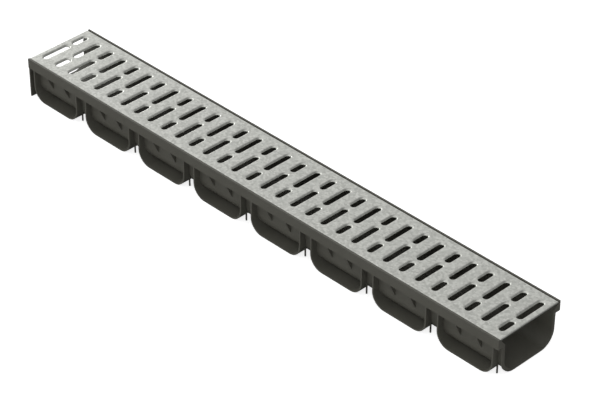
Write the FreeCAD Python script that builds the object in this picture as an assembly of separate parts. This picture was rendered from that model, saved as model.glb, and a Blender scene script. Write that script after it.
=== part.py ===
import FreeCAD, Part
import math
import os

# Channel drain: a moulded plastic channel, one metre long, with a pressed steel grating between its rims.
# Millimetres. X runs along the channel, Y across it and Z up. The origin is at the middle of the length
# and of the width, on the plane that the channel stands on.

# Overall sizes
LENGTH = 1000.0
HEIGHT = 70.0

# Moulded walls
WALL = 2.5
RIM_WALL = 2.7
GUSSET_THICKNESS = 2.0

# Rims: upright outside, with a narrow flat seat for the grating and a slope from there down to the trough
RIM_DEPTH = 17.0
SEAT_LAND = 2.0
SLOPE_RUN = 9.3
SLOPE_DEPTH = 14.0

# Trough that carries the water
TROUGH_WIDTH = 100.0
TROUGH_CORNER_RADIUS = 24.0
TROUGH_DRAFT_DEG = 1.0

# Grating sheet
SHEET = 1.5
GRATING_EDGE_RADIUS = 2.0
EDGE_LIP = 2.5

# Clearance on each side between the grating and the rim
GRATING_CLEARANCE = 1.0

# Slots: each column across the grating holds a short and a long one, swapped in the next column
SLOT_PITCH = 31.25
SLOT_WIDTH = 10.0
SHORT_SLOT = 28.0
LONG_SLOT = 52.5
SLOT_LAND = 3.6
LIP_DROP = 1.0

# Flat facets round each end of a slot
END_FACETS = 6

# Stiffening bands under the channel, one in each bay
BAY_PITCH = 125.0
BAND_START = 11.2
BAND_END = 115.6
BAND_CORNER_RADIUS = 23.5
BAND_SETBACK = 0.8

# Gussets under the rim, two in each bay on each side
GUSSET_PLACES = (45.0, 84.0)
GUSSET_REACH = 11.0
GUSSET_DROP = 24.0

# Locating legs beside each band
LEG_WIDTH = 1.8
LEG_THICKNESS = 2.0
LEG_LIFT = 1.0

# Flange round the open outlet end
FLANGE_THICKNESS = 2.5
FLANGE_PROUD = 2.5

# Places worked out from the sizes above
LEFT = -LENGTH / 2
RIGHT = LENGTH / 2
RIM_BOTTOM = HEIGHT - RIM_DEPTH
SEAT_TOP = HEIGHT - EDGE_LIP
SLOPE_FOOT = HEIGHT - SLOPE_DEPTH
TROUGH_INSIDE = TROUGH_WIDTH / 2
TROUGH_OUTSIDE = TROUGH_INSIDE + WALL
SEAT_INSIDE = TROUGH_INSIDE + SLOPE_RUN
RIM_INSIDE = SEAT_INSIDE + SEAT_LAND
RIM_OUTSIDE = RIM_INSIDE + RIM_WALL
GRATING_WIDTH = 2 * (RIM_INSIDE - GRATING_CLEARANCE)
BAND_OUTSIDE = RIM_OUTSIDE - BAND_SETBACK
BAY_COUNT = int(LENGTH // BAY_PITCH)
COLUMN_COUNT = int(LENGTH // SLOT_PITCH)
DRAWN_EDGE = SHEET + LIP_DROP
LIP_BOTTOM = HEIGHT - DRAWN_EDGE


def box(x0, x1, y0, y1, z0, z1):
    """A block between two corners."""
    return Part.makeBox(x1 - x0, y1 - y0, z1 - z0, FreeCAD.Vector(x0, y0, z0))


def prism(points, x0, x1):
    """An outline of (y, z) points, drawn out along X from x0 to x1."""
    corners = [FreeCAD.Vector(x0, y, z) for y, z in points]
    outline = Part.makePolygon(corners + corners[:1])
    return Part.Face(outline).extrude(FreeCAD.Vector(x1 - x0, 0, 0))


def on_both_sides(shape):
    """The shape and its mirror image across the channel's middle plane."""
    return [shape, shape.mirror(FreeCAD.Vector(0, 0, 0), FreeCAD.Vector(0, 1, 0))]


def trough(half_width, foot, radius, x0, x1):
    """A round-bottomed trough as a full solid: half_width at the slopes' foot, narrower at its own."""
    draft = (SLOPE_FOOT - foot) * math.tan(math.radians(TROUGH_DRAFT_DEG))
    top_corners = [(half_width, SLOPE_FOOT), (-half_width, SLOPE_FOOT)]
    foot_corners = [(draft - half_width, foot), (half_width - draft, foot)]
    solid = prism(top_corners + foot_corners, x0, x1)
    low_edges = [edge for edge in solid.Edges if edge.BoundBox.ZMax < foot + WALL]
    return solid.makeFillet(radius, [edge for edge in low_edges if edge.BoundBox.YLength < 0.1])


def seat_space():
    """The open space over the slopes, which narrows from the rims and the grating's seats to the trough."""
    half = [
        (RIM_INSIDE, 2 * HEIGHT),
        (RIM_INSIDE, SEAT_TOP),
        (SEAT_INSIDE, SEAT_TOP),
        (TROUGH_INSIDE, SLOPE_FOOT),
    ]
    return prism(half + [(-y, z) for y, z in reversed(half)], LEFT, RIGHT)


def rim():
    """The rim on one side: a block that is hollow from below under the slope, and closed at both ends."""
    block = box(LEFT, RIGHT, TROUGH_INSIDE, RIM_OUTSIDE, RIM_BOTTOM, HEIGHT)
    rise = (SEAT_TOP - SLOPE_FOOT) / SLOPE_RUN
    slope_thickness = WALL * math.sqrt(1 + rise * rise)
    hollow = [
        (TROUGH_OUTSIDE, RIM_BOTTOM),
        (RIM_INSIDE, RIM_BOTTOM),
        (RIM_INSIDE, SLOPE_FOOT - slope_thickness + rise * (RIM_INSIDE - TROUGH_INSIDE)),
        (TROUGH_OUTSIDE, SLOPE_FOOT - slope_thickness + rise * WALL),
    ]
    return block.cut(prism(hollow, LEFT + WALL, RIGHT - WALL))


def round_footed_block(x0, x1, z0, z1, radius):
    """A block across the channel whose two lower edges are rounded."""
    block = box(x0, x1, -BAND_OUTSIDE, BAND_OUTSIDE, z0, z1)
    low_edges = [edge for edge in block.Edges if edge.BoundBox.ZMax < z0 + 0.1]
    return block.makeFillet(radius, [edge for edge in low_edges if edge.BoundBox.XLength < 0.1])


def band(bay_left):
    """The U-shaped band of one bay: two upright plates and a foot plate, joined by round corners."""
    x0 = bay_left + BAND_START
    x1 = bay_left + BAND_END
    outside = round_footed_block(x0, x1, 0.0, SEAT_TOP, BAND_CORNER_RADIUS)
    inside = round_footed_block(x0 + WALL, x1 - WALL, WALL, HEIGHT, BAND_CORNER_RADIUS - WALL)
    return outside.cut(inside)


def gusset(x):
    """A web between the trough's wall and the rim, which goes on up to the underside of the slope."""
    root = TROUGH_OUTSIDE - WALL / 2
    tip = TROUGH_OUTSIDE + GUSSET_REACH
    outline = [
        (root, SEAT_TOP),
        (tip, SEAT_TOP),
        (tip, RIM_BOTTOM),
        (TROUGH_OUTSIDE, RIM_BOTTOM - GUSSET_DROP),
        (root, RIM_BOTTOM - GUSSET_DROP),
    ]
    return prism(outline, x - GUSSET_THICKNESS / 2, x + GUSSET_THICKNESS / 2)


def leg(band_right):
    """A slim leg that runs straight down where the band's corner turns away."""
    return box(
        band_right - LEG_THICKNESS,
        band_right,
        TROUGH_OUTSIDE - LEG_WIDTH,
        TROUGH_OUTSIDE,
        LEG_LIFT,
        RIM_BOTTOM,
    )


def channel_body():
    """The whole moulded channel."""
    pieces = [trough(TROUGH_OUTSIDE, WALL, TROUGH_CORNER_RADIUS, LEFT, RIGHT)]
    pieces += on_both_sides(rim())
    pieces.append(box(LEFT, LEFT + WALL, -BAND_OUTSIDE, BAND_OUTSIDE, 0.0, RIM_BOTTOM))
    flange_outside = TROUGH_OUTSIDE + FLANGE_PROUD
    flange_radius = TROUGH_CORNER_RADIUS + FLANGE_PROUD
    pieces.append(trough(flange_outside, WALL - FLANGE_PROUD, flange_radius, RIGHT - FLANGE_THICKNESS, RIGHT))
    for bay in range(BAY_COUNT):
        bay_left = LEFT + bay * BAY_PITCH
        pieces.append(band(bay_left))
        pieces += on_both_sides(leg(bay_left + BAND_END))
        for place in GUSSET_PLACES:
            pieces += on_both_sides(gusset(bay_left + place))
    solid = pieces[0].fuse(pieces[1:])
    water_way = trough(TROUGH_INSIDE, 2 * WALL, TROUGH_CORNER_RADIUS - WALL, LEFT, RIGHT)
    return solid.cut([water_way, seat_space()]).removeSplitter()


def flared_block(length, width, flare, z0, z1):
    """A round-ended block along Y whose foot measures length by width, and which flares out above it."""
    half = width / 2 + flare
    straight = (length - width) / 2
    turns = [math.pi * step / END_FACETS for step in range(END_FACETS + 1)]
    far_end = [(half * math.cos(turn), straight + half * math.sin(turn)) for turn in turns]
    near_end = [(-x, -y) for x, y in far_end]
    corners = [FreeCAD.Vector(x, y, z0) for x, y in far_end + near_end]
    block = Part.Face(Part.makePolygon(corners + corners[:1])).extrude(FreeCAD.Vector(0, 0, z1 - z0))
    return block.makeChamfer(flare, [edge for edge in block.Edges if edge.BoundBox.ZMax < z0 + flare / 2])


def slot_lip(length):
    """The sheet that a slot's drawn edge carries down below the underside, as thick as the flat."""
    spread = 2 * SHEET * math.sqrt(2)
    return flared_block(length + spread, SLOT_WIDTH + spread, LIP_DROP, LIP_BOTTOM, HEIGHT - SHEET / 2)


def slot_cutter(length):
    """What a slot takes away: its clear opening at the lip's foot, widening up to the top."""
    return flared_block(length, SLOT_WIDTH, DRAWN_EDGE, LIP_BOTTOM, HEIGHT + SHEET)


def slot_places():
    """The centre and length of every slot's clear opening."""
    short_overall = SHORT_SLOT + 2 * DRAWN_EDGE
    long_overall = LONG_SLOT + 2 * DRAWN_EDGE
    pattern = short_overall + SLOT_LAND + long_overall
    first_column = -(COLUMN_COUNT - 1) * SLOT_PITCH / 2
    places = []
    for column in range(COLUMN_COUNT):
        x = first_column + column * SLOT_PITCH
        side = 1 if column % 2 else -1
        places.append((x, side * (pattern - long_overall) / 2, LONG_SLOT))
        places.append((x, side * (short_overall - pattern) / 2, SHORT_SLOT))
    return places


def grating():
    """The pressed grating: a flat top whose edges are rounded and turned down, and drawn-down slots."""
    half = GRATING_WIDTH / 2
    outside = box(LEFT, RIGHT, -half, half, SEAT_TOP, HEIGHT)
    top_edges = [edge for edge in outside.Edges if edge.BoundBox.ZMin > HEIGHT - 0.1]
    outside = outside.makeFillet(GRATING_EDGE_RADIUS, top_edges)
    inside = box(LEFT + SHEET, RIGHT - SHEET, SHEET - half, half - SHEET, SEAT_TOP, HEIGHT - SHEET)
    sheet = outside.cut(inside)
    cutters = {length: slot_cutter(length) for length in (SHORT_SLOT, LONG_SLOT)}
    lips = {length: slot_lip(length) for length in (SHORT_SLOT, LONG_SLOT)}
    places = slot_places()
    sheet = sheet.fuse([lips[length].translated(FreeCAD.Vector(x, y, 0)) for x, y, length in places])
    sheet = sheet.cut([cutters[length].translated(FreeCAD.Vector(x, y, 0)) for x, y, length in places])
    return sheet.removeSplitter()


os.makedirs("parts", exist_ok=True)
channel_body().exportStep("parts/channel_body.step")
grating().exportStep("parts/grating.step")
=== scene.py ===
import logging
import math
from dataclasses import dataclass, field
from enum import Enum
from typing import Any

import bmesh
import bpy
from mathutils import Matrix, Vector
from mathutils.geometry import delaunay_2d_cdt


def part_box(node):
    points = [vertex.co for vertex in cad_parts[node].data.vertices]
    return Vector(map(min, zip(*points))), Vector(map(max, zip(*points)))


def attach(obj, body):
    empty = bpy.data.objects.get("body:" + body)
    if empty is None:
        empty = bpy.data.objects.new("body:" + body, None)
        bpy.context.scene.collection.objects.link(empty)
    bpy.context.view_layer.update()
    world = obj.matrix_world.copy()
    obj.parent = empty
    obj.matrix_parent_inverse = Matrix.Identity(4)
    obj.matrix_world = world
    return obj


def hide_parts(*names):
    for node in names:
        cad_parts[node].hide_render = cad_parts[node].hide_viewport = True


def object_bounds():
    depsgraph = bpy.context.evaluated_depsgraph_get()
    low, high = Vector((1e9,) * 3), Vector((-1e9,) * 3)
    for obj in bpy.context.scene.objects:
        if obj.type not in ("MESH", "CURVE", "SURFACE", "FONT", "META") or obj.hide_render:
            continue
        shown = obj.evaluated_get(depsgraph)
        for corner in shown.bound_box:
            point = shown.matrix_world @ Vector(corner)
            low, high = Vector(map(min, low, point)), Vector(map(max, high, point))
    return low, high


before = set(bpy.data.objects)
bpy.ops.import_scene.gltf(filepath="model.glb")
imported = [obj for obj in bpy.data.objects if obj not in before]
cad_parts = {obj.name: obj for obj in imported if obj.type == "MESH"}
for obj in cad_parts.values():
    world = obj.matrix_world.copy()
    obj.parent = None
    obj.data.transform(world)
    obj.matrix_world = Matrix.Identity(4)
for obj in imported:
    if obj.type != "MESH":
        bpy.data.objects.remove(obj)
cad_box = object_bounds()

# The looks of a channel drain: a pressed, galvanised grating lying in a moulded polypropylene channel.
# The scene's unit is the metre, so a size in millimetres is multiplied by MM.
MM = 0.001

# Corners nearer than this are the same one.
TOUCHING = 1e-9

# Half a turn about the vertical, as an Euler angle.
HALF_TURN = (0.0, 0.0, math.pi)

# A Mix node has a set of sockets for each kind of data.
MIX_FACTOR, MIX_FLOAT_A, MIX_FLOAT_B, MIX_COLOUR_A, MIX_COLOUR_B = 0, 2, 3, 6, 7
MIX_FLOAT_OUT, MIX_COLOUR_OUT = 0, 2

WHITE = "FFFFFF"

log = logging.getLogger("channel_drain")

Point = tuple[float, float, float]
Section = list[tuple[float, float]]


class ColumnTurn(Enum):
    """How a column of slots is turned, as an Euler angle, which decides the side of its long slot."""

    LONG_SLOT_NEAR = (0.0, 0.0, 0.0)
    LONG_SLOT_FAR = HALF_TURN


class Body(Enum):
    """The rigid bodies of the frame. Nothing on the drain moves, so there is one."""

    ROOT = "root"


def linear_colour(hex_code: str) -> tuple[float, float, float, float]:
    """Turns an sRGB colour into the linear one that a shader takes, by the standard curve.

    Args:
        hex_code: Six hexadecimal digits, red first.

    Returns:
        Red, green, blue and an alpha of 1.
    """
    parts = [int(hex_code[place:place + 2], 16) / 255 for place in (0, 2, 4)]
    red, green, blue = (
        part / 12.92 if part <= 0.04045 else ((part + 0.055) / 1.055) ** 2.4 for part in parts
    )
    return red, green, blue, 1.0


def add_node(
    tree: bpy.types.NodeTree,
    kind: str,
    settings: dict[str, Any] | None = None,
    inputs: dict[Any, Any] | None = None,
) -> bpy.types.Node:
    """Adds one node to a shader or geometry tree.

    Args:
        tree: The tree that takes the node.
        kind: The node's type name.
        settings: Properties of the node itself.
        inputs: Input socket, by name or number, to a constant or to the output socket that feeds it.

    Returns:
        The new node.
    """
    node = tree.nodes.new(kind)
    for name, value in (settings or {}).items():
        setattr(node, name, value)
    for socket, value in (inputs or {}).items():
        if isinstance(value, bpy.types.NodeSocket):
            tree.links.new(value, node.inputs[socket])
        else:
            node.inputs[socket].default_value = value
    return node


def new_material(name: str) -> tuple[bpy.types.Material, bpy.types.Node]:
    """Starts a node material.

    Args:
        name: The material's name.

    Returns:
        The material and its Principled shader.
    """
    material = bpy.data.materials.new(name)
    material.use_nodes = True
    return material, material.node_tree.nodes["Principled BSDF"]


def direction(azimuth: float, elevation: float) -> Vector:
    """The way from the object to a lamp, a camera or a side of the room.

    Args:
        azimuth: Degrees round the object, with 0 in front of it and 90 on its right.
        elevation: Degrees above the floor.

    Returns:
        The way, one unit long.
    """
    around, above = math.radians(azimuth), math.radians(elevation)
    outwards = math.cos(above)
    return Vector((math.sin(around) * outwards, -math.cos(around) * outwards, math.sin(above)))


@dataclass(frozen=True)
class GalvanisedSheet:
    """Cold-rolled steel sheet, pressed and then hot-dip galvanised.

    The zinc freezes into a small, low spangle. It gives the eye a dull, even, slightly warm grey with a
    faint mottle and no mirror. The bent edges, which the die has wiped, are smoother than the flats and
    glint softly. The spangle is drawn a little coarser than it is, so that it shows.

    Attributes:
        light_zinc: The lightest crystals.
        dark_zinc: The darkest crystals.
        spangle: A crystal's width.
        spangle_softness: How far the crystals run into each other.
        grain: The width of the mottle's specks.
        grain_detail: How many finer layers the mottle has.
        grain_fall: The strength of each of those layers against the one before.
        grain_share: The mottle's part in the tone. The crystals have the rest.
        roughness_low: The roughness of the lightest places on a flat.
        roughness_high: The roughness of the darkest ones.
        burnish: A bend's roughness as a share of a flat's.
        burnished_tilt: How much a face looks up or down where it is wholly a bend, and wholly a flat.
        relief: The depth of the mottle.
        relief_strength: How much of that depth shows.
    """

    light_zinc: str = "D9DAD4"
    dark_zinc: str = "A5A6A1"
    spangle: float = 3.2 * MM
    spangle_softness: float = 0.6
    grain: float = 0.9 * MM
    grain_detail: float = 3.0
    grain_fall: float = 0.6
    grain_share: float = 0.45
    roughness_low: float = 0.36
    roughness_high: float = 0.5
    burnish: float = 0.6
    burnished_tilt: tuple[float, float] = (0.75, 0.99)
    relief: float = 0.02 * MM
    relief_strength: float = 0.35

    def material(self) -> bpy.types.Material:
        """Builds the material.

        Returns:
            The zinc finish, with its spangle on Object coordinates.
        """
        material, shader = new_material("galvanised_steel_sheet")
        tree = material.node_tree
        coordinates = add_node(tree, "ShaderNodeTexCoord").outputs
        place = coordinates["Object"]
        crystals = add_node(
            tree,
            "ShaderNodeTexVoronoi",
            {"feature": "SMOOTH_F1"},
            {"Vector": place, "Scale": 1 / self.spangle, "Smoothness": self.spangle_softness},
        )
        crystal_tone = add_node(tree, "ShaderNodeSeparateColor", {}, {"Color": crystals.outputs["Color"]})
        mottle = add_node(
            tree,
            "ShaderNodeTexNoise",
            {},
            {
                "Vector": place,
                "Scale": 1 / self.grain,
                "Detail": self.grain_detail,
                "Roughness": self.grain_fall,
            },
        ).outputs["Fac"]
        blend = add_node(
            tree,
            "ShaderNodeMix",
            {"data_type": "FLOAT"},
            {MIX_FACTOR: self.grain_share, MIX_FLOAT_A: crystal_tone.outputs["Red"], MIX_FLOAT_B: mottle},
        ).outputs[MIX_FLOAT_OUT]
        colour = add_node(
            tree,
            "ShaderNodeMix",
            {"data_type": "RGBA"},
            {
                MIX_FACTOR: blend,
                MIX_COLOUR_A: linear_colour(self.dark_zinc),
                MIX_COLOUR_B: linear_colour(self.light_zinc),
            },
        )
        gloss = add_node(
            tree,
            "ShaderNodeMapRange",
            {},
            {"Value": blend, "To Min": self.roughness_high, "To Max": self.roughness_low},
        ).outputs["Result"]
        looks_up = add_node(tree, "ShaderNodeSeparateXYZ", {}, {0: coordinates["Normal"]}).outputs["Z"]
        lies_flat = add_node(tree, "ShaderNodeMath", {"operation": "ABSOLUTE"}, {0: looks_up}).outputs[0]
        wiped = add_node(
            tree,
            "ShaderNodeMapRange",
            {},
            {
                "Value": lies_flat,
                "From Min": self.burnished_tilt[0],
                "From Max": self.burnished_tilt[1],
                "To Min": self.burnish,
                "To Max": 1.0,
            },
        ).outputs["Result"]
        roughness = add_node(tree, "ShaderNodeMath", {"operation": "MULTIPLY"}, {0: gloss, 1: wiped})
        bump = add_node(
            tree,
            "ShaderNodeBump",
            {},
            {"Strength": self.relief_strength, "Distance": self.relief, "Height": mottle},
        )
        tree.links.new(colour.outputs[MIX_COLOUR_OUT], shader.inputs["Base Color"])
        tree.links.new(roughness.outputs[0], shader.inputs["Roughness"])
        tree.links.new(bump.outputs["Normal"], shader.inputs["Normal"])
        shader.inputs["Metallic"].default_value = 1.0
        return material


@dataclass(frozen=True)
class MouldedPolypropylene:
    """Polypropylene filled with carbon black, injection moulded in an eroded steel mould.

    The mould leaves a fine matt grain, and the melt flow a faint clouding. It gives the eye a soft charcoal
    that goes nearly black out of the light.

    Attributes:
        light_tone: The lightest places of the clouding.
        dark_tone: The darkest ones.
        flow: The width of a cloud.
        flow_detail: How many finer layers the clouding has.
        flow_fall: The strength of each of those layers against the one before.
        grain: The width of the mould's grain.
        grain_detail: How many finer layers the grain has.
        relief: The depth of the grain.
        relief_strength: How much of that depth shows.
        roughness: The usual one of an eroded mould's satin face.
        ior: That of polypropylene.
    """

    light_tone: str = "605F57"
    dark_tone: str = "56554D"
    flow: float = 28.0 * MM
    flow_detail: float = 4.0
    flow_fall: float = 0.55
    grain: float = 0.8 * MM
    grain_detail: float = 2.0
    relief: float = 0.04 * MM
    relief_strength: float = 0.4
    roughness: float = 0.52
    ior: float = 1.49

    def material(self) -> bpy.types.Material:
        """Builds the material.

        Returns:
            The plastic finish, with its grain on Object coordinates.
        """
        material, shader = new_material("moulded_black_polypropylene")
        tree = material.node_tree
        place = add_node(tree, "ShaderNodeTexCoord").outputs["Object"]
        clouds = add_node(
            tree,
            "ShaderNodeTexNoise",
            {},
            {
                "Vector": place,
                "Scale": 1 / self.flow,
                "Detail": self.flow_detail,
                "Roughness": self.flow_fall,
            },
        )
        grain = add_node(
            tree,
            "ShaderNodeTexNoise",
            {},
            {"Vector": place, "Scale": 1 / self.grain, "Detail": self.grain_detail},
        )
        colour = add_node(
            tree,
            "ShaderNodeMix",
            {"data_type": "RGBA"},
            {
                MIX_FACTOR: clouds.outputs["Fac"],
                MIX_COLOUR_A: linear_colour(self.dark_tone),
                MIX_COLOUR_B: linear_colour(self.light_tone),
            },
        )
        bump = add_node(
            tree,
            "ShaderNodeBump",
            {},
            {"Strength": self.relief_strength, "Distance": self.relief, "Height": grain.outputs["Fac"]},
        )
        tree.links.new(colour.outputs[MIX_COLOUR_OUT], shader.inputs["Base Color"])
        tree.links.new(bump.outputs["Normal"], shader.inputs["Normal"])
        shader.inputs["Roughness"].default_value = self.roughness
        shader.inputs["IOR"].default_value = self.ior
        return material


@dataclass(frozen=True)
class Fold:
    """A sheet's bend through a right angle, seen in section from the flat outwards and down.

    Attributes:
        radius: The outer face's radius.
        sheet: The sheet's thickness.
        steps: The number of straight runs that the bend is drawn with.
    """

    radius: float
    sheet: float
    steps: int

    def outside(self) -> Section:
        """The bend's outer face, as (distance out from the flat, height from the top, negative below it)."""
        return self._arc(self.radius)

    def inside(self) -> Section:
        """The bend's inner face, in the same terms."""
        return self._arc(self.radius - self.sheet)

    def _arc(self, radius: float) -> Section:
        """Points round a quarter circle about the bend's centre."""
        turns = [math.pi / 2 * step / self.steps for step in range(self.steps + 1)]
        return [(radius * math.sin(turn), radius * math.cos(turn) - self.radius) for turn in turns]


class MeshBuilder:
    """Gathers faces by their corner points, and joins the points that coincide."""

    def __init__(self) -> None:
        """Starts an empty mesh."""
        self.bm = bmesh.new()

    def face(self, points: list[Point]) -> None:
        """Adds one face. A corner given twice in a row is left out."""
        corners = [
            point for number, point in enumerate(points) if math.dist(point, points[number - 1]) > TOUCHING
        ]
        self.bm.faces.new([self.bm.verts.new(corner) for corner in corners])

    def strip(self, row: list[Point], next_row: list[Point], closed: bool = False) -> None:
        """Adds the quads between two rows of as many points."""
        for number in range(0 if closed else 1, len(row)):
            self.face([row[number - 1], row[number], next_row[number], next_row[number - 1]])

    def to_object(self, name: str, join: float = 0.001 * MM) -> bpy.types.Object:
        """Finishes the mesh.

        Args:
            name: The object's name.
            join: Points nearer than this become one.

        Returns:
            A new object that holds the mesh, whose faces look the way in which their corners were given.
        """
        bmesh.ops.remove_doubles(self.bm, verts=self.bm.verts, dist=join)
        mesh = bpy.data.meshes.new(name)
        self.bm.to_mesh(mesh)
        self.bm.free()
        thing = bpy.data.objects.new(name, mesh)
        bpy.context.scene.collection.objects.link(thing)
        return thing


@dataclass
class PressedGrating:
    """The grating: a flat sheet with 32 columns of drawn-down slots and a short lip turned down all round.

    The columns are one tile, repeated and turned by Geometry Nodes. The overall sizes come from the solid,
    and the rest are the pressing's own.

    Attributes:
        finish: The sheet's finish.
        pitch: The distance from one column of slots to the next.
        slot_width: The clear width of a slot, at the foot of its drawn edge.
        long_slot: The clear length of a column's long slot.
        short_slot: The clear length of its short one.
        land: The flat between the two slots of a column.
        sheet: The sheet's thickness.
        drawn_radius: The radius, and so the depth and width, of a slot's drawn edge.
        burr: The chamfer that the punch leaves on the cut edge.
        edge_radius: The radius of the fold along the sides and ends.
        end_steps: The number of straight runs in a slot's round end.
        drawn_steps: The number of straight runs in a drawn edge.
        edge_steps: The number of straight runs in a fold.
        seam: Points of neighbouring tiles nearer than this become one.
        crease_degrees: A bend between two faces that is shaded as a sharp edge.
        level_cosine: How much a face looks up or down where it counts as part of a flat.
    """

    finish: GalvanisedSheet = field(default_factory=GalvanisedSheet)
    pitch: float = 31.25 * MM
    slot_width: float = 8.9 * MM
    long_slot: float = 51.0 * MM
    short_slot: float = 26.5 * MM
    land: float = 3.3 * MM
    sheet: float = 1.5 * MM
    drawn_radius: float = 3.4 * MM
    burr: float = 0.3 * MM
    edge_radius: float = 2.0 * MM
    end_steps: int = 16
    drawn_steps: int = 6
    edge_steps: int = 6
    seam: float = 0.01 * MM
    crease_degrees: float = 35.0
    level_cosine: float = 0.9999

    def __post_init__(self) -> None:
        """Takes the overall sizes from the solid."""
        low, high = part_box("grating")
        self.length = high.x - low.x
        self.half_width = (high.y - low.y) / 2
        self.top = high.z
        self.foot = low.z
        self.flat_half_width = self.half_width - self.edge_radius
        self.columns = round(self.length / self.pitch)
        self.edge = Fold(self.edge_radius, self.sheet, self.edge_steps)
        self.drawn = Fold(self.drawn_radius, self.sheet, self.drawn_steps)

    def slots(self) -> list[tuple[float, float]]:
        """Lays out the two slots of a column that has its long slot near.

        Returns:
            Each slot's middle across the grating and its clear length.
        """
        long_overall = self.long_slot + 2 * self.drawn_radius
        short_overall = self.short_slot + 2 * self.drawn_radius
        pattern = long_overall + self.land + short_overall
        return [
            ((long_overall - pattern) / 2, self.long_slot),
            ((pattern - short_overall) / 2, self.short_slot),
        ]

    def slot_outline(self, middle: float, clear: float, spread: float, height: float) -> list[Point]:
        """A slot's outline, spread outwards from its clear opening.

        Args:
            middle: The slot's middle across the grating.
            clear: The slot's clear length.
            spread: How far outside the clear opening the outline runs.
            height: The outline's height from the grating's top, negative below it.

        Returns:
            The outline's points, anticlockwise from above.
        """
        radius = self.slot_width / 2 + spread
        straight = (clear - self.slot_width) / 2
        turns = [math.pi * step / self.end_steps for step in range(self.end_steps + 1)]
        far = [(radius * math.cos(turn), straight + radius * math.sin(turn)) for turn in turns]
        outline = far + [(-x, -y) for x, y in far]
        return [(x, middle + y, self.top + height) for x, y in outline]

    def slot_section(self) -> Section:
        """Draws a slot's edge in section, from the top flat down into the slot and back to the underside.

        Returns:
            The section, as (distance out from the clear opening, height from the top, negative below it).
        """
        reach = self.drawn_radius
        top = [(reach - out, height) for out, height in self.drawn.outside()[:-1]]
        cut_edge = [(0.0, self.burr - reach), (self.burr, -reach), (self.sheet - self.burr, -reach)]
        under = [(reach - out, height) for out, height in self.drawn.inside()[-2::-1]]
        return top + cut_edge + under

    def flat_faces(self, builder: MeshBuilder, height: float, upwards: bool) -> None:
        """Fills a tile's flat round its slots, on the top or on the underside.

        Args:
            builder: The mesh that takes the faces.
            height: The flat's height from the grating's top, negative below it.
            upwards: True for the top, whose faces look up.
        """
        x, y = self.pitch / 2, self.flat_half_width
        reach = self.drawn_radius
        loops = [[(-x, -y, 0.0), (x, -y, 0.0), (x, y, 0.0), (-x, y, 0.0)]]
        loops += [self.slot_outline(middle, clear, reach, 0.0) for middle, clear in self.slots()]
        points: list[Vector] = []
        edges: list[tuple[int, int]] = []
        for loop in loops:
            start = len(points)
            points += [Vector(point[:2]) for point in loop]
            edges += [(start + step, start + (step + 1) % len(loop)) for step in range(len(loop))]
        made_points, _, made_faces, *_ = delaunay_2d_cdt(points, edges, [], 0, TOUCHING)
        for corners in made_faces:
            centre = sum((made_points[corner] for corner in corners), Vector((0.0, 0.0))) / len(corners)
            if any(self.in_slot(centre, middle, clear) for middle, clear in self.slots()):
                continue
            places = [(*made_points[corner], self.top + height) for corner in corners]
            builder.face(places if upwards else places[::-1])

    def in_slot(self, place: Vector, middle: float, clear: float) -> bool:
        """Tells whether a place on the flat is inside a slot's outline at the top.

        Args:
            place: The place, in the tile's plane.
            middle: The slot's middle across the grating.
            clear: The slot's clear length.

        Returns:
            True where the slot is, so that the flat has no face there.
        """
        straight = (clear - self.slot_width) / 2
        along = max(abs(place.y - middle) - straight, 0.0)
        return math.hypot(place.x, along) < self.slot_width / 2 + self.drawn_radius

    def column_tile(self) -> bpy.types.Object:
        """Builds one column: its two slots, the flats round them and its stretch of the sides' lips.

        Returns:
            The tile, with its middle at the origin.
        """
        builder = MeshBuilder()
        self.flat_faces(builder, 0.0, True)
        self.flat_faces(builder, -self.sheet, False)
        for middle, clear in self.slots():
            rings = [self.slot_outline(middle, clear, out, height) for out, height in self.slot_section()]
            for ring, next_ring in zip(rings, rings[1:]):
                builder.strip(ring, next_ring, closed=True)
        x = self.pitch / 2
        for row, next_row in zip(self.side_section(), self.side_section()[1:]):
            for side in (1, -1):
                (y0, z0), (y1, z1) = row, next_row
                corners = [(-x, side * y0, z0), (x, side * y0, z0), (x, side * y1, z1), (-x, side * y1, z1)]
                builder.face(corners if side > 0 else corners[::-1])
        return builder.to_object("slot_column_tile")

    def side_section(self) -> Section:
        """Draws the far side's fold and lip in section, from the top flat round to the underside.

        Returns:
            The section, as (across, up).
        """
        outside = [(self.flat_half_width + out, self.top + height) for out, height in self.edge.outside()]
        inside = [(self.flat_half_width + out, self.top + height) for out, height in self.edge.inside()]
        lip = [(self.half_width, self.foot), (self.half_width - self.sheet, self.foot)]
        return outside + lip + inside[::-1]

    def end_cap(self) -> bpy.types.Object:
        """Builds what closes the right end: its fold and lip, and the corners where they meet the sides'.

        Returns:
            The cap, with the end of the flat at the origin.
        """
        builder = MeshBuilder()
        for section, outwards in ((self.edge.outside(), True), (self.edge.inside(), False)):
            rows = [(out, self.flat_half_width + out, self.top + height) for out, height in section]
            rows.append((rows[-1][0], rows[-1][1], self.foot))
            for (x0, y0, z0), (x1, y1, z1) in zip(rows, rows[1:]):
                faces = [[(x0, -y0, z0), (x1, -y1, z1), (x1, y1, z1), (x0, y0, z0)]]
                faces.append([(0.0, y0, z0), (x0, y0, z0), (x1, y1, z1), (0.0, y1, z1)])
                faces.append([(0.0, -y1, z1), (x1, -y1, z1), (x0, -y0, z0), (0.0, -y0, z0)])
                for points in faces:
                    builder.face(points if outwards else points[::-1])
        x, y, z = self.edge_radius, self.half_width, self.foot
        inner_x, inner_y = x - self.sheet, y - self.sheet
        builder.face([(inner_x, -inner_y, z), (inner_x, inner_y, z), (x, y, z), (x, -y, z)])
        builder.face([(0.0, inner_y, z), (0.0, y, z), (x, y, z), (inner_x, inner_y, z)])
        builder.face([(0.0, -inner_y, z), (inner_x, -inner_y, z), (x, -y, z), (0.0, -y, z)])
        return builder.to_object("grating_end_cap")

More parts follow.
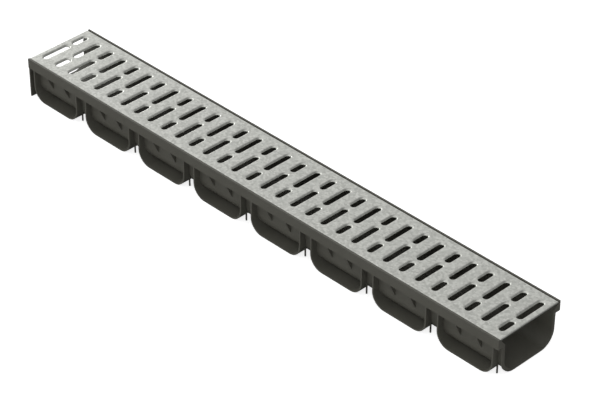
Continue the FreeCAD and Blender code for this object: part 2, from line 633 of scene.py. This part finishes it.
    def node_group(self) -> bpy.types.NodeTree:
        """Builds the tree that lays the columns in a row, turns every other one and closes both ends.

        Returns:
            The tree, with its sizes as named inputs.
        """
        tree = bpy.data.node_groups.new("slotted_grating", "GeometryNodeTree")
        sockets = (
            ("Column", "NodeSocketObject"), ("End Cap", "NodeSocketObject"), ("Columns", "NodeSocketInt"),
            ("Pitch", "NodeSocketFloat"), ("Length", "NodeSocketFloat"), ("End Fold", "NodeSocketFloat"),
            ("Finish", "NodeSocketMaterial"),
        )
        tree.interface.new_socket("Geometry", in_out="OUTPUT", socket_type="NodeSocketGeometry")
        for name, kind in sockets:
            tree.interface.new_socket(name, in_out="INPUT", socket_type=kind)
        sizes = add_node(tree, "NodeGroupInput").outputs
        index = add_node(tree, "GeometryNodeInputIndex").outputs[0]

        # The columns stand a pitch apart about the middle, and every other one is turned round.
        step = add_node(tree, "ShaderNodeCombineXYZ", {}, {"X": sizes["Pitch"]}).outputs[0]
        steps_back = add_node(
            tree, "ShaderNodeMath", {"operation": "MULTIPLY_ADD"}, {0: sizes["Columns"], 1: -0.5, 2: 0.5}
        )
        first_column = add_node(
            tree, "ShaderNodeVectorMath", {"operation": "SCALE"}, {0: step, "Scale": steps_back.outputs[0]}
        )
        row = add_node(
            tree,
            "GeometryNodeMeshLine",
            {},
            {"Count": sizes["Columns"], "Start Location": first_column.outputs[0], "Offset": step},
        )
        every_other = add_node(tree, "ShaderNodeMath", {"operation": "MODULO"}, {0: index, 1: 2.0})
        turn = add_node(
            tree,
            "GeometryNodeSwitch",
            {"input_type": "VECTOR"},
            {
                "Switch": every_other.outputs[0],
                "False": ColumnTurn.LONG_SLOT_NEAR.value,
                "True": ColumnTurn.LONG_SLOT_FAR.value,
            },
        )
        tile = add_node(tree, "GeometryNodeObjectInfo", {}, {"Object": sizes["Column"]})
        columns = add_node(
            tree,
            "GeometryNodeInstanceOnPoints",
            {},
            {
                "Points": row.outputs[0],
                "Instance": tile.outputs["Geometry"],
                "Rotation": turn.outputs[0],
            },
        )
        sheet = add_node(tree, "GeometryNodeRealizeInstances", {}, {0: columns.outputs[0]})

        # The flat ends where the folds of the two ends begin, so the outermost columns are cut short there.
        half = add_node(tree, "ShaderNodeMath", {"operation": "MULTIPLY"}, {0: sizes["Length"], 1: 0.5})
        right = add_node(
            tree,
            "ShaderNodeMath",
            {"operation": "SUBTRACT"},
            {0: half.outputs[0], 1: sizes["End Fold"]},
        ).outputs[0]
        left = add_node(tree, "ShaderNodeMath", {"operation": "MULTIPLY"}, {0: right, 1: -1.0}).outputs[0]
        place = add_node(tree, "GeometryNodeInputPosition").outputs[0]
        parts = add_node(tree, "ShaderNodeSeparateXYZ", {}, {0: place}).outputs
        between = add_node(tree, "ShaderNodeClamp", {}, {"Value": parts["X"], "Min": left, "Max": right})
        shortened = add_node(
            tree,
            "ShaderNodeCombineXYZ",
            {},
            {"X": between.outputs[0], "Y": parts["Y"], "Z": parts["Z"]},
        )
        flat = add_node(
            tree,
            "GeometryNodeSetPosition",
            {},
            {"Geometry": sheet.outputs[0], "Position": shortened.outputs[0]},
        )

        # One cap closes the right end, and the same cap turned round closes the left one.
        right_end = add_node(tree, "ShaderNodeCombineXYZ", {}, {"X": right})
        left_end = add_node(tree, "ShaderNodeCombineXYZ", {}, {"X": left})
        ends = add_node(
            tree,
            "GeometryNodeMeshLine",
            {"mode": "END_POINTS"},
            {"Count": 2, "Start Location": right_end.outputs[0], "Offset": left_end.outputs[0]},
        )
        cap = add_node(tree, "GeometryNodeObjectInfo", {}, {"Object": sizes["End Cap"]})
        cap_turn = add_node(
            tree, "ShaderNodeVectorMath", {"operation": "SCALE"}, {0: HALF_TURN, "Scale": index}
        )
        caps = add_node(
            tree,
            "GeometryNodeInstanceOnPoints",
            {},
            {
                "Points": ends.outputs[0],
                "Instance": cap.outputs["Geometry"],
                "Rotation": cap_turn.outputs[0],
            },
        )
        joined = add_node(tree, "GeometryNodeJoinGeometry")
        tree.links.new(flat.outputs[0], joined.inputs[0])
        tree.links.new(caps.outputs[0], joined.inputs[0])
        real = add_node(tree, "GeometryNodeRealizeInstances", {}, {0: joined.outputs[0]})
        seamless = add_node(
            tree, "GeometryNodeMergeByDistance", {}, {"Geometry": real.outputs[0], "Distance": self.seam}
        )
        dressed = add_node(
            tree,
            "GeometryNodeSetMaterial",
            {},
            {"Geometry": seamless.outputs[0], "Material": sizes["Finish"]},
        )
        add_node(tree, "NodeGroupOutput", {}, {"Geometry": dressed.outputs[0]})
        return tree

    def shade(self, mesh: bpy.types.Mesh) -> None:
        """Shades the folds smooth and keeps the flats between them flat.

        Args:
            mesh: The grating's finished mesh.
        """
        mesh.shade_smooth()
        mesh.set_sharp_from_angle(angle=math.radians(self.crease_degrees))
        flats: dict[tuple[int, int], set[bool]] = {}
        for polygon in mesh.polygons:
            for key in polygon.edge_keys:
                flats.setdefault(key, set()).add(abs(polygon.normal.z) > self.level_cosine)
        for edge in mesh.edges:
            if len(flats[edge.key]) > 1:
                edge.use_edge_sharp = True

    def build(self) -> bpy.types.Object:
        """Builds the grating and puts it in the solid's place.

        Returns:
            The finished piece, as a plain mesh.
        """
        helpers = {"Column": self.column_tile(), "End Cap": self.end_cap()}
        finish = self.finish.material()
        tree = self.node_group()
        values = {
            **helpers,
            "Columns": self.columns,
            "Pitch": self.pitch,
            "Length": self.length,
            "End Fold": self.edge_radius,
            "Finish": finish,
        }
        carrier = bpy.data.objects.new("grating_carrier", bpy.data.meshes.new("grating_carrier"))
        bpy.context.scene.collection.objects.link(carrier)
        modifier = carrier.modifiers.new("slots", "NODES")
        modifier.node_group = tree
        for socket in tree.interface.items_tree:
            if socket.in_out == "INPUT":
                modifier[socket.identifier] = values[socket.name]
        graph = bpy.context.evaluated_depsgraph_get()
        mesh = bpy.data.meshes.new_from_object(carrier.evaluated_get(graph))
        mesh.name = "pressed_grating"
        for helper in (carrier, *helpers.values()):
            bpy.data.objects.remove(helper)
        self.shade(mesh)
        grating = bpy.data.objects.new("pressed_grating", mesh)
        bpy.context.scene.collection.objects.link(grating)
        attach(grating, Body.ROOT.value)
        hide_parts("grating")
        return grating


@dataclass
class MouldedChannel:
    """The channel body, whose solid has the moulding's whole form.

    Attributes:
        finish: The moulding's finish.
    """

    finish: MouldedPolypropylene = field(default_factory=MouldedPolypropylene)

    def dress(self) -> bpy.types.Object:
        """Gives the solid its moulded finish.

        Returns:
            The frame's own object.
        """
        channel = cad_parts["channel_body"]
        channel.data.materials.clear()
        channel.data.materials.append(self.finish.material())
        return channel


@dataclass(frozen=True)
class SoftLamp:
    """A rectangular soft box that looks at the object.

    Attributes:
        name: The lamp's name.
        azimuth: Degrees round the object from its front.
        elevation: Degrees above the floor.
        distance: How far it hangs from the object, in metres.
        width: Its width, in metres.
        height: Its height, in metres.
        watts: Its power.
    """

    name: str
    azimuth: float
    elevation: float
    distance: float
    width: float
    height: float
    watts: float

    def hang(self) -> None:
        """Puts the lamp in its place."""
        lamp = bpy.data.lights.new(self.name, "AREA")
        lamp.shape = "RECTANGLE"
        lamp.size = self.width
        lamp.size_y = self.height
        lamp.energy = self.watts
        light = bpy.data.objects.new(self.name, lamp)
        bpy.context.scene.collection.objects.link(light)
        back = direction(self.azimuth, self.elevation)
        light.location = back * self.distance
        light.rotation_mode = "QUATERNION"
        light.rotation_quaternion = (-back).to_track_quat("-Z", "Y")


@dataclass
class Studio:
    """A white floor, soft light that is strongest at the left front, and the camera of a product picture.

    Reflections see the white room with a grey card at its back on the right, which gives the pressed edges
    their dark side. The strip light on the left gives them their glint.

    Attributes:
        azimuth: The camera's place round the object, in degrees from its front.
        elevation: The camera's height over the floor, in degrees.
        distance: The camera's distance from the place that it looks at.
        aim_along: That place along the drain. It lies in the plane of the grating's top.
        aim_across: That place across the drain.
        lens: The focal length, in millimetres.
        sensor: The picture's width in the camera, in millimetres.
        view_reach: How far the camera sees, in metres.
        floor_half: Half the floor's side, in metres.
        bright_azimuth: The side of the room from which most light comes, in degrees.
        bright_elevation: Its height, in degrees.
        room_reach: The cosine of the angle from that side, at the side opposite and at the side itself.
        room_level: The room's brightness at both.
        card_azimuth: The grey card's middle, in degrees.
        card_elevation: Its height, in degrees.
        card_reach: The cosine of the angle from its middle where the card begins, and where it is full.
        card_level: The brightness of the room outside the card, and of the card.
        seen_level: The room's brightness to the camera, where 1 is white.
        floor_tone: The floor's own colour.
        floor_in_gloss: The floor's colour in reflections.
        floor_glow: The light added to the floor for the camera, so that it is white round the shadow.
        floor_roughness: That of matt paper.
        lamps: The lamps besides the room's own light.
    """

    azimuth: float = 45.53
    elevation: float = 35.54
    distance: float = 3621.0 * MM
    aim_along: float = 77.54 * MM
    aim_across: float = -26.04 * MM
    lens: float = 148.86
    sensor: float = 36.0
    view_reach: float = 100.0
    floor_half: float = 30.0
    bright_azimuth: float = -38.5
    bright_elevation: float = 20.0
    room_reach: tuple[float, float] = (-1.0, 1.0)
    room_level: tuple[float, float] = (0.1, 1.0)
    card_azimuth: float = 125.0
    card_elevation: float = 38.0
    card_reach: tuple[float, float] = (0.2, 0.98)
    card_level: tuple[float, float] = (1.0, 0.32)
    seen_level: float = 1.0
    floor_tone: str = "E0E0E0"
    floor_in_gloss: str = "6C6C6C"
    floor_glow: float = 0.8
    floor_roughness: float = 0.9
    lamps: tuple[SoftLamp, ...] = (
        SoftLamp("strip_light", azimuth=-106, elevation=14, distance=3.2, width=1.5, height=0.35, watts=13),
    )

    def camera(self) -> None:
        """Places the camera as the picture has it."""
        lens = bpy.data.cameras.new("camera")
        lens.lens = self.lens
        lens.sensor_width = self.sensor
        lens.clip_end = self.view_reach
        camera = bpy.data.objects.new("camera", lens)
        bpy.context.scene.collection.objects.link(camera)
        back = direction(self.azimuth, self.elevation)
        aim = Vector((self.aim_along, self.aim_across, cad_box[1].z))
        camera.location = aim + back * self.distance
        camera.rotation_mode = "QUATERNION"
        camera.rotation_quaternion = (-back).to_track_quat("-Z", "Y")
        bpy.context.scene.camera = camera

    def world(self) -> None:
        """Sets the soft room light, which the camera sees as plain white."""
        world = bpy.data.worlds.new("studio")
        world.use_nodes = True
        tree = world.node_tree
        path = add_node(tree, "ShaderNodeLightPath").outputs
        way = add_node(tree, "ShaderNodeTexCoord").outputs["Generated"]

        def graded(
            azimuth: float, elevation: float, reach: tuple[float, float], level: tuple[float, float]
        ) -> bpy.types.NodeSocket:
            """Grades the room's brightness by the angle to one direction.

            Args:
                azimuth: The direction's degrees from the front.
                elevation: Its degrees above the floor.
                reach: The angle's cosine where the grading begins and where it ends.
                level: The brightness at both.

            Returns:
                The brightness that a ray meets.
            """
            towards = direction(azimuth, elevation)
            cosine = add_node(
                tree, "ShaderNodeVectorMath", {"operation": "DOT_PRODUCT"}, {0: way, 1: towards}
            )
            return add_node(
                tree,
                "ShaderNodeMapRange",
                {},
                {
                    "Value": cosine.outputs["Value"],
                    "From Min": reach[0],
                    "From Max": reach[1],
                    "To Min": level[0],
                    "To Max": level[1],
                },
            ).outputs["Result"]

        soft = graded(self.bright_azimuth, self.bright_elevation, self.room_reach, self.room_level)
        card = graded(self.card_azimuth, self.card_elevation, self.card_reach, self.card_level)
        room = add_node(
            tree,
            "ShaderNodeMix",
            {"data_type": "FLOAT"},
            {MIX_FACTOR: path["Is Glossy Ray"], MIX_FLOAT_A: soft, MIX_FLOAT_B: card},
        ).outputs[MIX_FLOAT_OUT]
        seen_plain = add_node(
            tree,
            "ShaderNodeMath",
            {"operation": "MAXIMUM"},
            {0: path["Is Camera Ray"], 1: path["Is Transmission Ray"]},
        ).outputs[0]
        strength = add_node(
            tree,
            "ShaderNodeMix",
            {"data_type": "FLOAT"},
            {MIX_FACTOR: seen_plain, MIX_FLOAT_A: room, MIX_FLOAT_B: self.seen_level},
        ).outputs[MIX_FLOAT_OUT]
        background = tree.nodes["Background"]
        tree.links.new(strength, background.inputs["Strength"])
        background.inputs["Color"].default_value = linear_colour(WHITE)
        bpy.context.scene.world = world

    def floor(self) -> None:
        """Lays a pale matt floor, white to the camera apart from the object's soft shadow."""
        half = self.floor_half
        mesh = bpy.data.meshes.new("floor")
        corners = [(-half, -half, 0), (half, -half, 0), (half, half, 0), (-half, half, 0)]
        mesh.from_pydata(corners, [], [(0, 1, 2, 3)])
        floor = bpy.data.objects.new("floor", mesh)
        bpy.context.scene.collection.objects.link(floor)
        material, shader = new_material("white_floor")
        tree = material.node_tree
        path = add_node(tree, "ShaderNodeLightPath").outputs
        tone = add_node(
            tree,
            "ShaderNodeMix",
            {"data_type": "RGBA"},
            {
                MIX_FACTOR: path["Is Glossy Ray"],
                MIX_COLOUR_A: linear_colour(self.floor_tone),
                MIX_COLOUR_B: linear_colour(self.floor_in_gloss),
            },
        )
        tree.links.new(tone.outputs[MIX_COLOUR_OUT], shader.inputs["Base Color"])
        shader.inputs["Roughness"].default_value = self.floor_roughness
        glow = add_node(
            tree, "ShaderNodeEmission", {}, {"Color": linear_colour(WHITE), "Strength": self.floor_glow}
        )
        lit = add_node(tree, "ShaderNodeAddShader", {}, {0: shader.outputs[0], 1: glow.outputs[0]})
        seen = add_node(
            tree,
            "ShaderNodeMixShader",
            {},
            {0: path["Is Camera Ray"], 1: shader.outputs[0], 2: lit.outputs[0]},
        )
        tree.links.new(seen.outputs[0], tree.nodes["Material Output"].inputs["Surface"])
        mesh.materials.append(material)

    def build(self) -> None:
        """Sets up the whole studio."""
        bpy.context.scene.view_settings.view_transform = "Standard"
        self.camera()
        for lamp in self.lamps:
            lamp.hang()
        self.world()
        self.floor()


def main() -> None:
    """Builds the drain and its studio."""
    logging.basicConfig(level=logging.INFO, format="%(message)s")
    channel = MouldedChannel().dress()
    grating = PressedGrating().build()
    for piece in (channel, grating):
        log.info("%s: %d faces", piece.name, len(piece.data.polygons))
    Studio().build()


if __name__ == "__main__":
    main()
